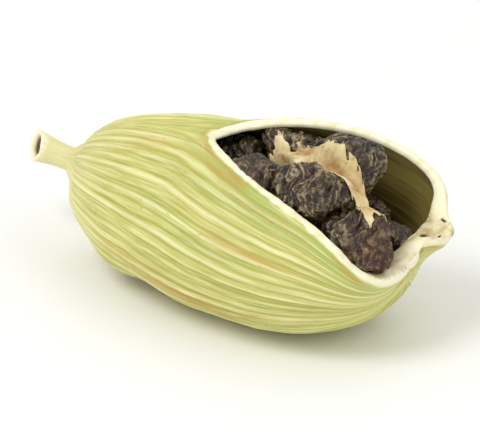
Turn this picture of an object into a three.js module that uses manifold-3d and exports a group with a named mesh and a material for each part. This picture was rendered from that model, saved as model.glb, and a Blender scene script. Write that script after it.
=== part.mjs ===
// A dried green cardamom pod, split open along one seam so that its seeds show.
// It lies on a small flat spot of its belly. Millimetres, +Z up, X along the pod
// from the cut stalk to the tip. Angles run round the pod: 0 faces -Y, 90 is up, 180 faces +Y.
import * as THREE from 'three';
import { ConvexGeometry } from 'three/addons/geometries/ConvexGeometry.js';
import { LoftGeometry } from 'three/addons/geometries/LoftGeometry.js';
import { mergeVertices } from 'three/addons/utils/BufferGeometryUtils.js';
import Module from 'manifold-3d';

const { clamp, degToRad, lerp, smoothstep } = THREE.MathUtils;
const fullTurn = 2 * Math.PI;

// The husk: a spindle that swells quickly behind the stalk and ends in a blunt tip
const podLength = 18.5;
const podRadius = 4.27;
const shoulderPower = 0.545;
const tipPower = 0.372;
const tipSkew = 0.06;
const sectionHeight = 0.91;
const lobeCount = 3;
const lobeDepth = 0.055;
const lobeAngle = degToRad(90);
const wall = 0.45;

// The cut stalk and the bend of the pod's axis, which rises towards both ends
const stalkShare = 0.072;
const stalkExtra = 1.0;
const stalkRadius = 0.58;
const stalkFade = 0.4;
const stalkLift = 0.13;
const tipLift = 0.58;
const bendShare = 0.5;
const pithRadius = 0.3;
const pithDepth = 0.5;

// The belly, pressed nearly flat, and the flat spot that the pod rests on
const bellyLevel = -3.65;
const bellySoftness = 0.6;
const restSpotDepth = 0.1;

// The mouth: a split that starts at the notch and widens to half the girth at the tip
const seamAngle = degToRad(81.4);
const notchShare = 0.5;
const frontGape = degToRad(43.6);
const frontPower = 0.67;
const frontTipGape = degToRad(58.8);
const frontTipPower = 8;
const backGape = degToRad(80.9);
const backPower = 0.82;
const mouthEnd = 0.985;
const mouthReach = 9;

// The back lip stands away from the seeds
const lipFlare = 2.83;
const lipSpread = 0.52;
const lipTaper = 0.73;

// The hollow that holds the seeds
const hollowStart = 0.12;
const hollowEnd = 0.965;

// The seeds: two rows in each of three chambers, and a ring of three at either end
const seedRings = [0.372, 0.504, 0.636, 0.768];
const seedRows = [
  ['upper_front', 51],
  ['upper_back', 111],
  ['back', 171],
  ['lower_back', 231],
  ['lower_front', 291],
  ['front', 351],
];
const stalkRows = [
  ['top', 81],
  ['back', 201],
  ['front', 321],
];
const tipRows = [
  ['top', 55],
  ['back', 175],
  ['front', 300],
];
const stalkRing = 0.24;
const tipRing = 0.895;
const seedGap = 0.15;
const seedThickness = 0.34;
const endSeedThickness = 0.36;
const endSeedWidth = 1.05;
const endSeedLength = 1.0;
const seedSquareness = 2.2;
const seedTaper = 0.3;

// Under the open mouth the upper rows have sprung out of the hollow: how far back and up, and where
const sprungRows = {
  upper_front: [0.6, 1.0],
  upper_back: [0.75, 1.2],
};
const springStart = 0.45;
const springFull = 0.75;
const springEnd = 0.95;

// The papery skin left lying over the upper seeds
const skinStart = 0.61;
const skinEnd = 0.9;
const skinStartAngle = degToRad(92);
const skinEndAngle = degToRad(82);
const skinHalfWidth = 0.55;
const skinEndWidth = 0.3;
const skinThickness = 0.2;
const skinGap = 0.2;

// Fineness of the faceted surfaces
const huskSides = 56;
const huskSections = 28;
const stalkSections = 3;
const hollowSides = 44;
const hollowSections = 22;
const mouthSections = 20;
const mouthSideSteps = 12;
const mouthArcSteps = 8;
const skinSections = 10;
const skinArcSteps = 3;
const pithSides = 16;
const tipClose = 0.9999;
const notchClose = 0.002;

const wasm = await Module();
wasm.setup();

const spindlePeakShare = shoulderPower / (shoulderPower + tipPower);
const spindlePeak = spindlePeakShare ** shoulderPower * (1 - spindlePeakShare) ** tipPower;

// Radius of the plain spindle, before its lobes and its lip
function spindleRadius(share, angle) {
  const along = clamp((share - stalkShare) / (1 - stalkShare), 0, 1);
  const tip = tipPower + tipSkew * along * (1 + Math.cos(angle)) / 2;
  const body = podRadius * along ** shoulderPower * (1 - along) ** tip / spindlePeak;
  const stalk = stalkRadius * clamp(1 - share / stalkFade, 0, 1);
  return Math.cbrt(body ** 3 + stalk ** 3);
}

// Height of the pod's axis
function axisHeight(share) {
  const towardsStalk = clamp((bendShare - share) / bendShare, 0, 1);
  const towardsTip = clamp((share - bendShare) / (1 - bendShare), 0, 1);
  return stalkLift * towardsStalk ** 2 + tipLift * towardsTip ** 2;
}

// Angles of the two edges of the mouth
function mouthEdges(share) {
  const opening = clamp((share - notchShare) / (1 - notchShare), 0, 1);
  const front = frontGape * opening ** frontPower + frontTipGape * opening ** frontTipPower;
  const back = backGape * opening ** backPower;
  return { front: seamAngle - front, back: seamAngle + back, opening };
}

// A point at a given radius from the pod's axis, with the stalk drawn out past the spindle's length
function aroundAxis(share, angle, radius) {
  const drawnOut = stalkExtra * clamp(1 - share / stalkShare, 0, 1);
  return new THREE.Vector3(
    podLength * (share - 0.5) - drawnOut,
    -radius * Math.cos(angle),
    axisHeight(share) + sectionHeight * radius * Math.sin(angle),
  );
}

// A point of the husk's outside, or of a surface that lies a given depth below it
function huskPoint(share, angle, depth) {
  const plain = spindleRadius(share, angle);
  const lobed = plain * (1 + lobeDepth * Math.cos(lobeCount * (angle - lobeAngle)));
  const { back, opening } = mouthEdges(share);
  const fromLip = Math.atan2(Math.sin(angle - back), Math.cos(angle - back));
  const reach = (plain / podRadius) ** lipTaper * opening;
  const lip = lipFlare * reach * Math.exp(-((fromLip / lipSpread) ** 2));
  const point = aroundAxis(share, angle, lobed + lip - depth);
  const level = bellyLevel + depth;
  const above = point.z - level;
  if (above < bellySoftness) {
    point.z = level + bellySoftness * Math.exp(above / bellySoftness - 1);
  }
  return point;
}

// Even steps from 0 to 1
function steps(count) {
  return Array.from({ length: count + 1 }, (_, i) => i / count);
}

// Shares from first to last, closer together at both ends
function spread(first, last, count) {
  return steps(count).map((step) => lerp(first, last, (1 - Math.cos(Math.PI * step)) / 2));
}

function loft(sections) {
  return new LoftGeometry(sections, { capStart: true, capEnd: true });
}

function ringLoft(shares, sides, depth) {
  const angles = steps(sides).slice(1).map((step) => -fullTurn * step);
  return loft(shares.map((share) => angles.map((angle) => huskPoint(share, angle, depth))));
}

function solid(geometry) {
  const bare = new THREE.BufferGeometry().copy(geometry);
  bare.deleteAttribute('normal');
  bare.deleteAttribute('uv');
  const merged = mergeVertices(bare);
  return new wasm.Manifold(new wasm.Mesh({
    numProp: 3,
    vertProperties: merged.getAttribute('position').array,
    triVerts: new Uint32Array(merged.index.array),
  }));
}

function meshGeometry(manifold) {
  const { vertProperties, triVerts } = manifold.getMesh();
  const geometry = new THREE.BufferGeometry();
  geometry.setAttribute('position', new THREE.BufferAttribute(vertProperties, 3));
  geometry.setIndex(new THREE.BufferAttribute(triVerts, 1));
  geometry.computeVertexNormals();
  return geometry;
}

// The wedge of space between the two lips, from the notch to the tip
function mouthWedge() {
  const radii = steps(mouthSideSteps).map((step) => step * mouthReach);
  const sections = spread(notchShare + notchClose, mouthEnd, mouthSections).map((share) => {
    const { front, back } = mouthEdges(share);
    const backSide = radii.map((radius) => aroundAxis(share, back, radius));
    const frontSide = radii.slice(1).reverse().map((radius) => aroundAxis(share, front, radius));
    const between = steps(mouthArcSteps).slice(1, -1);
    const arc = between.map((step) => aroundAxis(share, lerp(back, front, step), mouthReach));
    return [...backSide, ...arc, ...frontSide];
  });
  return loft(sections);
}

// The dry pith at the cut end of the stalk has shrunk back from its rim
function pithHollow() {
  const hollow = new THREE.CylinderGeometry(pithRadius, pithRadius, 2 * pithDepth, pithSides);
  hollow.rotateZ(Math.PI / 2);
  const cutEnd = aroundAxis(0, 0, 0);
  hollow.translate(cutEnd.x, cutEnd.y, cutEnd.z);
  return hollow;
}

// A block whose top is the plane of the rest spot
function groundBlock(outside) {
  outside.computeBoundingBox();
  const top = outside.boundingBox.min.z + restSpotDepth;
  const block = new THREE.BoxGeometry(2 * podLength, 2 * podLength, podLength);
  block.translate(0, 0, top - podLength / 2);
  return block;
}

function husk() {
  const stalkShares = steps(stalkSections).slice(0, -1).map((step) => stalkShare * step);
  const bodyShares = spread(stalkShare, tipClose, huskSections);
  const outside = ringLoft([...stalkShares, ...bodyShares], huskSides, 0);
  const hollow = ringLoft(spread(hollowStart, hollowEnd, hollowSections), hollowSides, wall);
  const shell = solid(outside)
    .subtract(solid(hollow))
    .subtract(solid(mouthWedge()))
    .subtract(solid(pithHollow()))
    .subtract(solid(groundBlock(outside)));
  const material = new THREE.MeshStandardMaterial({ color: 0xd3cf80, roughness: 0.72, metalness: 0 });
  const mesh = new THREE.Mesh(meshGeometry(shell), material);
  mesh.name = 'husk';
  return mesh;
}

// Radius that the seeds fill inside the hollow
function seedReach(share) {
  return spindleRadius(share, 0) * (1 - lobeDepth) - wall - seedGap;
}

// How far the rows under the mouth have sprung out of their place
function spring(share, [back, up]) {
  const rise = smoothstep(share, springStart, springFull) * (1 - smoothstep(share, springFull + 0.05, springEnd));
  return new THREE.Vector3(0, back * rise, up * rise);
}

// One blunt-cornered seed, long along X, wide along Y, thick along Z, narrower on its inner side
function seed(name, share, row, degrees, half) {
  const corners = new THREE.IcosahedronGeometry(1, 1).getAttribute('position');
  const points = Array.from({ length: corners.count }, (_, i) => {
    const corner = new THREE.Vector3().fromBufferAttribute(corners, i);
    const parts = corner.toArray().map((part) => Math.abs(part) ** seedSquareness);
    const size = (parts[0] + parts[1] + parts[2]) ** (1 / seedSquareness);
    corner.divideScalar(size);
    corner.y *= 1 + seedTaper * (corner.z - 1) / 2;
    return corner.multiply(half);
  });
  const material = new THREE.MeshStandardMaterial({ color: 0x43351f, roughness: 0.6, metalness: 0 });
  const mesh = new THREE.Mesh(new ConvexGeometry(points), material);
  const angle = degToRad(degrees);
  const outwards = Math.atan2(sectionHeight * Math.sin(angle), Math.cos(angle));
  mesh.position.copy(aroundAxis(share, angle, seedReach(share) - half.z));
  if (row in sprungRows) mesh.position.add(spring(share, sprungRows[row]));
  mesh.rotation.x = Math.PI / 2 - outwards;
  mesh.name = name;
  return mesh;
}

// Six seeds round the pod, each filling its sixth of the ring
function ringSeeds(share, number) {
  const reach = seedReach(share);
  const thick = seedThickness * reach;
  const wide = (reach - thick) * Math.tan(Math.PI / seedRows.length) * sectionHeight - seedGap / 2;
  const long = podLength * (seedRings[1] - seedRings[0]) / 2 - seedGap / 2;
  const half = new THREE.Vector3(long, wide, thick);
  return seedRows.map(([row, degrees]) => seed(`seed_${row}_${number}`, share, row, degrees, half));
}

// Three smaller seeds that close the rows at one end
function endSeeds(share, end, rows) {
  const half = new THREE.Vector3(endSeedLength, endSeedWidth, endSeedThickness * seedReach(share));
  return rows.map(([row, degrees]) => seed(`seed_${end}_${row}`, share, row, degrees, half));
}

// A thin strip that lies across the upper rows and narrows towards its ends
function skin() {
  const arc = steps(skinArcSteps).map((step) => 1 - 2 * step);
  const sections = steps(skinSections).map((step) => {
    const share = lerp(skinStart, skinEnd, step);
    const middle = lerp(skinStartAngle, skinEndAngle, step);
    const below = seedReach(share) + skinGap;
    const halfWidth = lerp(skinEndWidth, skinHalfWidth, Math.sin(Math.PI * step));
    const angles = arc.map((side) => middle + side * halfWidth / below);
    const rise = spring(share, sprungRows.upper_front);
    const top = angles.map((angle) => aroundAxis(share, angle, below + skinThickness).add(rise));
    const bottom = angles.map((angle) => aroundAxis(share, angle, below).add(rise));
    return [...top, ...bottom.reverse()];
  });
  const material = new THREE.MeshStandardMaterial({ color: 0xd5c38e, roughness: 0.85, metalness: 0 });
  const mesh = new THREE.Mesh(loft(sections), material);
  mesh.name = 'seed_skin';
  return mesh;
}

const pod = new THREE.Group();
pod.add(husk());
pod.add(...endSeeds(stalkRing, 'stalk_end', stalkRows));
seedRings.forEach((share, i) => pod.add(...ringSeeds(share, i + 1)));
pod.add(...endSeeds(tipRing, 'tip', tipRows));
pod.add(skin());

// The origin is under the middle of the pod, on the surface that it rests on
const extent = new THREE.Box3().setFromObject(pod, true);
const middle = extent.getCenter(new THREE.Vector3());
pod.position.set(-middle.x, -middle.y, -extent.min.z);

export default pod;
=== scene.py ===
import math

import bmesh
import bpy
import numpy as np
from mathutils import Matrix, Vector
from mathutils.bvhtree import BVHTree


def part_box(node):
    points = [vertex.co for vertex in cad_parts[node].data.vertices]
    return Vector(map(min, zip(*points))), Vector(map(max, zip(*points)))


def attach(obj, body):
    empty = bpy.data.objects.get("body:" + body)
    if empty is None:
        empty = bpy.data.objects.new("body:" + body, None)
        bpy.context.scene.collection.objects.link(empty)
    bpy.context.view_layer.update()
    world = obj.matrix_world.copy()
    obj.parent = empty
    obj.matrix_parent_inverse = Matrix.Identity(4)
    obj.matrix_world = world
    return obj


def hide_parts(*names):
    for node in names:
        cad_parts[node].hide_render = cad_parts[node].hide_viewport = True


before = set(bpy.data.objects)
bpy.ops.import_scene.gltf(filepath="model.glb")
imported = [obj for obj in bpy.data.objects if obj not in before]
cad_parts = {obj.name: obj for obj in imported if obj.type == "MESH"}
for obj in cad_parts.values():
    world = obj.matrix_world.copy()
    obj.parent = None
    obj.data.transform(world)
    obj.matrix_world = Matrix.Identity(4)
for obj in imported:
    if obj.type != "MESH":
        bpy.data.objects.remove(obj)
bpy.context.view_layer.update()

mm = 0.001
fullTurn = 2 * math.pi

# the pod's form, the same as in CAD: millimetres, degrees and shares of its length
podForm = {
    "length": 18.5,
    "radius": 4.27,
    "shoulderPower": 0.545,
    "tipPower": 0.372,
    "tipSkew": 0.06,
    "height": 0.91,
    "lobes": 3,
    "lobeDepth": 0.055,
    "lobeAngle": 90,
    "stalkShare": 0.072,
    "stalkExtra": 1.0,  # the stalk is drawn out by this much
    "stalkRadius": 0.58,
    "stalkFade": 0.4,
    "stalkLift": 0.13,
    "tipLift": 0.58,
    "bendShare": 0.5,
    "bellyLevel": -3.65,
    "bellySoftness": 0.6,
    "restDepth": 0.1,
    "seam": 81.4,
    "notch": 0.5,
    "frontGape": 43.6,
    "frontPower": 0.67,
    "frontTipGape": 58.8,
    "frontTipPower": 8,
    "backGape": 80.9,
    "backPower": 0.82,
    "lipFlare": 2.83,
    "lipSpread": 0.52,
    "lipTaper": 0.73,
    "wall": 0.45,
}


# 1 in the middle, fading to both sides
def bell(value, middle, width):
    return np.exp(-(((value - middle) / width) ** 2))


def spindleRadius(share, angle):
    f = podForm
    along = np.clip((share - f["stalkShare"]) / (1 - f["stalkShare"]), 0, 1)
    peak = f["shoulderPower"] / (f["shoulderPower"] + f["tipPower"])
    crown = peak ** f["shoulderPower"] * (1 - peak) ** f["tipPower"]
    tip = f["tipPower"] + f["tipSkew"] * along * (1 + np.cos(angle)) / 2
    body = f["radius"] * along ** f["shoulderPower"] * (1 - along) ** tip / crown
    stalk = f["stalkRadius"] * np.clip(1 - share / f["stalkFade"], 0, 1)
    return np.cbrt(body ** 3 + stalk ** 3)


def axisHeight(share):
    f = podForm
    towardsStalk = np.clip((f["bendShare"] - share) / f["bendShare"], 0, 1)
    towardsTip = np.clip((share - f["bendShare"]) / (1 - f["bendShare"]), 0, 1)
    return f["stalkLift"] * towardsStalk ** 2 + f["tipLift"] * towardsTip ** 2


# how far each lip has drawn away from the seam
def lipGapes(opening):
    f = podForm
    front = f["frontGape"] * opening ** f["frontPower"]
    front = front + f["frontTipGape"] * opening ** f["frontTipPower"]
    back = f["backGape"] * opening ** f["backPower"]
    return np.radians(front), np.radians(back)


# angles of the two lips, and how far open the mouth is
def mouthEdges(share):
    f = podForm
    opening = np.clip((share - f["notch"]) / (1 - f["notch"]), 0, 1)
    front, back = lipGapes(opening)
    seam = math.radians(f["seam"])
    return seam - front, seam + back, opening


def aroundAxis(share, angle, radius, shift=0.0):
    drawnOut = podForm["stalkExtra"] * np.clip(1 - share / podForm["stalkShare"], 0, 1)
    x = podForm["length"] * (share - 0.5) - drawnOut + shift
    y = -radius * np.cos(angle)
    z = axisHeight(share) + podForm["height"] * radius * np.sin(angle)
    return np.stack(np.broadcast_arrays(x, y, z), axis=-1)


# distance from the axis to the husk's outside
def huskReach(share, angle):
    f = podForm
    plain = spindleRadius(share, angle)
    lobe = np.cos(f["lobes"] * (angle - math.radians(f["lobeAngle"])))
    _, back, opening = mouthEdges(share)
    lip = (plain / f["radius"]) ** f["lipTaper"] * opening * bell(angle, back, f["lipSpread"])
    return plain * (1 + f["lobeDepth"] * lobe) + f["lipFlare"] * lip


# the underside flattens towards the ground
def pressBelly(points, depth):
    level = podForm["bellyLevel"] + depth
    soft = podForm["bellySoftness"]
    above = points[..., 2] - level
    eased = soft * np.exp(np.minimum(above, soft) / soft - 1)
    points[..., 2] = level + np.where(above < soft, eased, above)
    return points


# where the pod's own axis lies in the shared frame, read from the husk's box
def findPlace():
    low, high = (np.array(corner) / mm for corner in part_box("husk"))
    steps = np.linspace(0, 1, 400)
    share = steps[:, None]
    front, back, _ = mouthEdges(share)
    angle = back + (front + fullTurn - back) * steps
    points = pressBelly(aroundAxis(share, angle, huskReach(share, angle)), 0)
    middle = (points.min((0, 1)) + points.max((0, 1))) / 2
    place = (low + high) / 2 - middle
    place[2] = low[2] - points[..., 2].min() - podForm["restDepth"]
    return place


podPlace = findPlace()
print("pod axis at", podPlace.round(3))


def toFrame(points):
    return (np.asarray(points) + podPlace) * mm


def smoothStep(value, low, high):
    step = np.clip((value - low) / (high - low), 0, 1)
    return step * step * (3 - 2 * step)


# smooth seeded unevenness along a line
def ripple(x, seed, waves, fall=1.0):
    phases = np.random.default_rng(seed).random(waves)
    steps = np.arange(1, waves + 1)
    parts = [np.sin(fullTurn * (n * x + phase)) / n ** fall for n, phase in zip(steps, phases)]
    return sum(parts) / np.sum(1 / steps ** fall)


# node tree helpers
def fill(tree, socket, value):
    if isinstance(value, bpy.types.NodeSocket):
        tree.links.new(value, socket)
    else:
        socket.default_value = value


# adds a node with its settings, its inputs filled by place or by name
def addNode(tree, kind, values, **settings):
    node = tree.nodes.new(kind)
    for name, value in settings.items():
        setattr(node, name, value)
    pairs = values.items() if isinstance(values, dict) else enumerate(values)
    for key, value in pairs:
        fill(tree, node.inputs[key], value)
    return node


def calc(tree, operation, *values):
    return addNode(tree, "ShaderNodeMath", values, operation=operation).outputs[0]


def times(tree, a, b):
    return calc(tree, "MULTIPLY", a, b)


def plus(tree, a, b):
    return calc(tree, "ADD", a, b)


def minus(tree, a, b):
    return calc(tree, "SUBTRACT", a, b)


def vector(tree, operation, *values):
    node = tree.nodes.new("ShaderNodeVectorMath")
    node.operation = operation
    sockets = [socket for socket in node.inputs if socket.enabled]
    for socket, value in zip(sockets, values):
        fill(tree, socket, value)
    return next(socket for socket in node.outputs if socket.enabled)


def noise(tree, place, scale, detail=2.0, roughness=0.5):
    values = {"Vector": place, "Scale": scale, "Detail": detail, "Roughness": roughness}
    return addNode(tree, "ShaderNodeTexNoise", values).outputs[0]


def remap(tree, value, fromLow, fromHigh, toLow=0.0, toHigh=1.0):
    return addNode(tree, "ShaderNodeMapRange", (value, fromLow, fromHigh, toLow, toHigh)).outputs[0]


def combine(tree, x, y, z):
    return addNode(tree, "ShaderNodeCombineXYZ", (x, y, z)).outputs[0]


def separate(tree, value):
    return addNode(tree, "ShaderNodeSeparateXYZ", (value,)).outputs


# what a node that takes no inputs gives
def given(tree, kind, output=0):
    return tree.nodes.new(kind).outputs[output]


def startTree(name, inputs):
    tree = bpy.data.node_groups.new(name, "GeometryNodeTree")
    tree.interface.new_socket("Geometry", in_out="INPUT", socket_type="NodeSocketGeometry")
    for label, kind in inputs:
        tree.interface.new_socket(label, in_out="INPUT", socket_type="NodeSocket" + kind)
    tree.interface.new_socket("Geometry", in_out="OUTPUT", socket_type="NodeSocketGeometry")
    return tree, tree.nodes.new("NodeGroupInput").outputs


def readNamed(tree, name, kind="FLOAT"):
    node = addNode(tree, "GeometryNodeInputNamedAttribute", {"Name": name}, data_type=kind)
    return next(socket for socket in node.outputs if socket.enabled and socket.name == "Attribute")


def storeNamed(tree, geometry, name, value):
    values = {"Geometry": geometry, "Name": name, "Value": value}
    return addNode(tree, "GeometryNodeStoreNamedAttribute", values).outputs[0]


def setPosition(tree, geometry, key, value):
    return addNode(tree, "GeometryNodeSetPosition", {"Geometry": geometry, key: value}).outputs[0]


def endTree(tree, geometry, material):
    whole = addNode(tree, "GeometryNodeRealizeInstances", (geometry,)).outputs[0]
    paint = addNode(tree, "GeometryNodeSetMaterial", {"Geometry": whole, "Material": material})
    addNode(tree, "NodeGroupOutput", (paint.outputs[0],))


# turns an object with modifiers into a plain mesh
def bakeMesh(obj):
    view = bpy.context.evaluated_depsgraph_get()
    shape = obj.evaluated_get(view)
    mesh = bpy.data.meshes.new_from_object(shape, preserve_all_data_layers=True, depsgraph=view)
    obj.modifiers.clear()
    obj.data = mesh
    mesh.name = obj.name
    mesh.polygons.foreach_set("use_smooth", np.ones(len(mesh.polygons), bool))
    return obj


def runTree(obj, tree, values):
    modifier = obj.modifiers.new(tree.name, "NODES")
    modifier.node_group = tree
    for socket in tree.interface.items_tree:
        if socket.in_out == "INPUT" and socket.name in values:
            modifier[socket.identifier] = values[socket.name]
    return bakeMesh(obj)


def addObject(name, mesh):
    obj = bpy.data.objects.new(name, mesh)
    bpy.context.scene.collection.objects.link(obj)
    return obj


# shader helpers
def tone(code):
    parts = [int(code[i:i + 2], 16) / 255 for i in (0, 2, 4)]
    return tuple(c / 12.92 if c <= 0.04045 else ((c + 0.055) / 1.055) ** 2.4 for c in parts) + (1.0,)


def startMaterial(name):
    material = bpy.data.materials.new(name)
    material.use_nodes = True
    tree = material.node_tree
    return material, tree, tree.nodes["Principled BSDF"]


def attribute(tree, name, output="Fac"):
    return addNode(tree, "ShaderNodeAttribute", (), attribute_name=name).outputs[output]


def ramp(tree, value, stops):
    node = addNode(tree, "ShaderNodeValToRGB", (value,))
    points = node.color_ramp.elements
    while len(points) < len(stops):
        points.new(0.5)
    for point, (position, code) in zip(points, stops):
        point.position = position
        point.color = tone(code)
    return node.outputs[0]


# factor and colours are sockets 0, 6 and 7 of the node
def mix(tree, factor, under, over):
    colours = [tone(colour) if isinstance(colour, str) else colour for colour in (under, over)]
    values = {0: factor, 6: colours[0], 7: colours[1]}
    return addNode(tree, "ShaderNodeMix", values, data_type="RGBA").outputs[2]


def bump(tree, height, strength, distance):
    values = {"Strength": strength, "Distance": distance, "Height": height}
    return addNode(tree, "ShaderNodeBump", values).outputs[0]


def endMaterial(tree, shader, colour, roughness, normal, gloss):
    names = ("Base Color", "Roughness", "Normal", "Specular IOR Level")
    for name, value in zip(names, (colour, roughness, normal, gloss)):
        fill(tree, shader.inputs[name], value)


# husk: outside, inside and torn rim as one closed skin
huskMake = {
    "rows": 170,
    "columns": 390,
    "innerColumns": 110,
    "stalkRows": 20,
    "rimSteps": 8,
    "innerStart": 0.115,
    "tipWall": 1.1,
    "frontTipWall": 2,
    "backTipWall": 9,
    "rimBulge": 0.07,
    "rimWidth": 0.34,
    "lipRoll": 0.16,
    "edgeWander": 0.018,
    "gather": 2.4,
    "wanderFade": 6,
    "mouthMiddle": 0.8,
    "rimUneven": 0.7,
    # cream edge on the outside: mean width and unevenness in rim widths, then softness in mm
    "rimEdge": (0.8, 0.35),
    "rimSoftness": 0.1,
    "innerRim": 0.12,
    # depth past the rim's width over which it turns into lining, and widths at which it is dry
    "rimSlope": (0.08, 0.5),
    "slopeTone": 0.8,
    "rimDry": (0.55, 1.0),
    "dryTone": 0.55,
    # ribs begin this many rim widths from the lip, with a trace of them before
    "ribStart": 0.4,
    "ribTrace": 0.05,
    # knob at the end of the back lip
    "knobShare": 0.988,
    "knobPush": (0.28, 0.15, -0.09),
    "knobSize": 0.72,
    "knobFlat": 1.4,
    "knobLump": 0.3,
    "knobWaves": (7, 6, 6),
    "knobPhases": (1.3, 0.4, 2.1),
    # hollowed flank below the knob
    "waistShare": 0.972,
    "waistLength": 0.036,
    "waistAngle": 225,
    "waistDepth": 0.48,
    "waistPower": 1.5,
    # crease under the knob, where the two valves meet, with painted shade in it
    "creasePlace": (0.998, 0.08),
    "creasePush": (-0.4, -0.06, 0.06),
    "creaseSize": 0.45,
    "creaseShade": 0.5,
    # pits in the knob, painted dark as shade: share along the back lip, share across the rim, size
    "pits": [(0.977, 0.2, 0.13), (0.9915, 0.16, 0.09), (0.994, 0.6, 0.16)],
    "pitDepth": 0.12,
    "pitAim": (0.93, 200, 0.8),  # share, angle and radius that they point to
    # slimmer neck, and a stalk that curves up to its slanting cut
    "neckShare": 0.104,
    "neckLength": 0.04,
    "neckDepth": 0.27,
    "neckEase": (-0.004, 0.013),
    "rootLength": 0.02,
    "rootSwell": 0.08,
    "stalkFlare": 0.24,
    "flareUneven": 0.25,
    "stalkRise": 0.05,
    "stalkCurve": 1.5,
    "cutSlant": (-1.05, 0.5),
    "cutBack": 0.4,
    # dents and swellings low on the front flank: share, length and depth
    "dents": [(0.42, 0.07, 0.3), (0.6, 0.11, 0.24), (0.29, 0.075, -0.38)],
    "dentAngle": 300,
    "dentSpread": 0.5,
    # cut end of the stalk: depth behind the end in mm, and share of the stalk's radius
    "stalkEnd": [(-0.05, 0.95), (-0.06, 0.85), (-0.01, 0.74), (0.08, 0.66), (0.16, 0.48),
                 (0.2, 0.2), (0.21, 0.0)],
    "endUneven": 0.06,
    "endWaves": (5, 9),
    "endSteep": 5,
    "endEdge": 0.6,
    "woodShare": 0.55,
    "pithShare": 0.7,
    "cutPale": 0.02,
    "joinWithin": 0.0002,
    "fibreRadius": 4,
    "ribBend": 0.14,
    "ribRounds": 30,
    "ribs": {"Rib Count": 48, "Rib Height": 0.14, "Fine Count": 110, "Fine Height": 0.04,
             "Wander": 0.17, "Wrinkle Height": 0.06, "Lump Height": 0.3, "Seed": 7},
    "tones": {
        "bands": [(0.3, "b5bb63"), (0.45, "c9c970"), (0.58, "d9d582"), (0.75, "e8e19b")],
        "paleThread": "f3ecb2",
        "darkThread": "a59f4a",
        "paleHair": "f5efb8",
        "darkHair": "a8a04c",
        # groove: darker olive, partly own colour and partly painted shade; crest: pale, partly own colour
        # and partly painted highlight
        "groove": "a5a147",
        "crest": "f6f2bc",
        "rust": "c9964c",
        "fresh": "a9bb5e",
        "paleEnd": "eee5b4",
        "lipLine": "c08c45",
        "fleck": "9a7a3c",
        # inside of the valves: the darker stops are painted shade deep in the hollow
        "shadedLining": [(0.0, "b3a263"), (0.2, "8d7f3d"), (0.5, "66561c"), (1.0, "3a2c0a")],
        "liningThread": "a08f52",
        "liningStain": "3f300c",
        "rim": [(0.3, "efe6b4"), (0.5, "fbf5d2"), (0.7, "fffce8")],
        "knob": [(0.32, "a87f4a"), (0.44, "d6c08c"), (0.54, "efe5b9"), (0.66, "faf4d3")],
        # painted shade for the knob's pits and the crease under it
        "pit": "4a3618",
        "pith": [(0.3, "2e1206"), (0.5, "5c2c10"), (0.7, "86491f")],
    },
}


def huskRows():
    f, m = podForm, huskMake
    stalk = np.linspace(0, f["stalkShare"], m["stalkRows"] + 1)[:-1]
    even = np.linspace(0, 1, m["rows"] + 1)
    body = f["stalkShare"] + (1 - f["stalkShare"]) * (1 - np.cos(math.pi * even)) / 2
    body[np.argmin(abs(body - f["notch"]))] = f["notch"]
    return np.concatenate([stalk, body])


# slight wander of a lip's edge, none at its ends
def lipWander(share, opening, seed):
    m = huskMake
    fade = np.minimum(opening * m["wanderFade"], 1) * np.minimum((1 - opening) * m["wanderFade"], 1)
    return m["edgeWander"] * fade * ripple(share * 2.5, seed, 9, 0.6)


# angles across one valve line, from the back lip round under the belly to the front lip
def huskAngles(share, across):
    front, back, opening = mouthEdges(share)
    front = front + lipWander(share, opening, 3)
    back = back + lipWander(share, opening, 4)
    seam = math.radians(podForm["seam"])
    nearBack = (1 - across) ** huskMake["gather"]
    nearFront = across ** huskMake["gather"]
    return seam + fullTurn * across + (back - seam) * nearBack - (seam - front) * nearFront


# place of a point among the ribs, which bend more softly than the lips do
def ribPlace(share, angle):
    f, gather = podForm, huskMake["gather"]
    ahead = (share - f["notch"]) / (1 - f["notch"])
    front, back = lipGapes((np.hypot(ahead, huskMake["ribBend"]) + ahead) / 2)
    straight = (angle - math.radians(f["seam"])) / fullTurn
    place = straight
    # settles where the bent rib passes through the point
    for _ in range(huskMake["ribRounds"]):
        place = np.clip(place, 0, 1)
        place = straight - (back * (1 - place) ** gather - front * place ** gather) / fullTurn
    return place


# how much the outside falls short of its even form
def dent(share, angle):
    m = huskMake
    low = sum(depth * bell(share, place, length) for place, length, depth in m["dents"])
    low = low * bell(angle, math.radians(m["dentAngle"]), m["dentSpread"])
    facing = np.maximum(np.cos(angle - math.radians(m["waistAngle"])), 0)
    waist = m["waistDepth"] * bell(share, m["waistShare"], m["waistLength"]) * facing ** m["waistPower"]
    stalk = podForm["stalkShare"]
    easeLow, easeHigh = m["neckEase"]
    neck = m["neckDepth"] * bell(share, m["neckShare"], m["neckLength"])
    neck = neck * smoothStep(share, stalk + easeLow, stalk + easeHigh)
    flare = m["stalkFlare"] * np.clip(1 - share / stalk, 0, 1) ** 2
    flare = flare * (1 + m["flareUneven"] * np.sin(podForm["lobes"] * angle))
    flare = flare + m["rootSwell"] * bell(share, stalk, m["rootLength"])
    return low + (waist + neck - flare) * spindleRadius(share, angle)


# the stalk curves up, and its cut slants back at the top and front
def slantCut(points, share):
    m = huskMake
    lean, rise = m["cutSlant"]
    weight = np.clip(1 - share / podForm["stalkShare"], 0, 1)
    shift = lean * points[..., 1] + rise * (points[..., 2] - axisHeight(share))
    points[..., 0] += weight * (shift + m["cutBack"])
    points[..., 2] += weight ** m["stalkCurve"] * m["stalkRise"]
    return points


# arc between a point and the nearer lip
def lipArc(share, across):
    front, back, _ = mouthEdges(share)
    angle = huskAngles(share, across)
    turn = np.maximum(np.minimum(angle - back, front + fullTurn - angle), 0)
    ahead = podForm["length"] * np.maximum(podForm["notch"] - share, 0)
    return np.hypot(turn * huskReach(share, angle), ahead)


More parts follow.
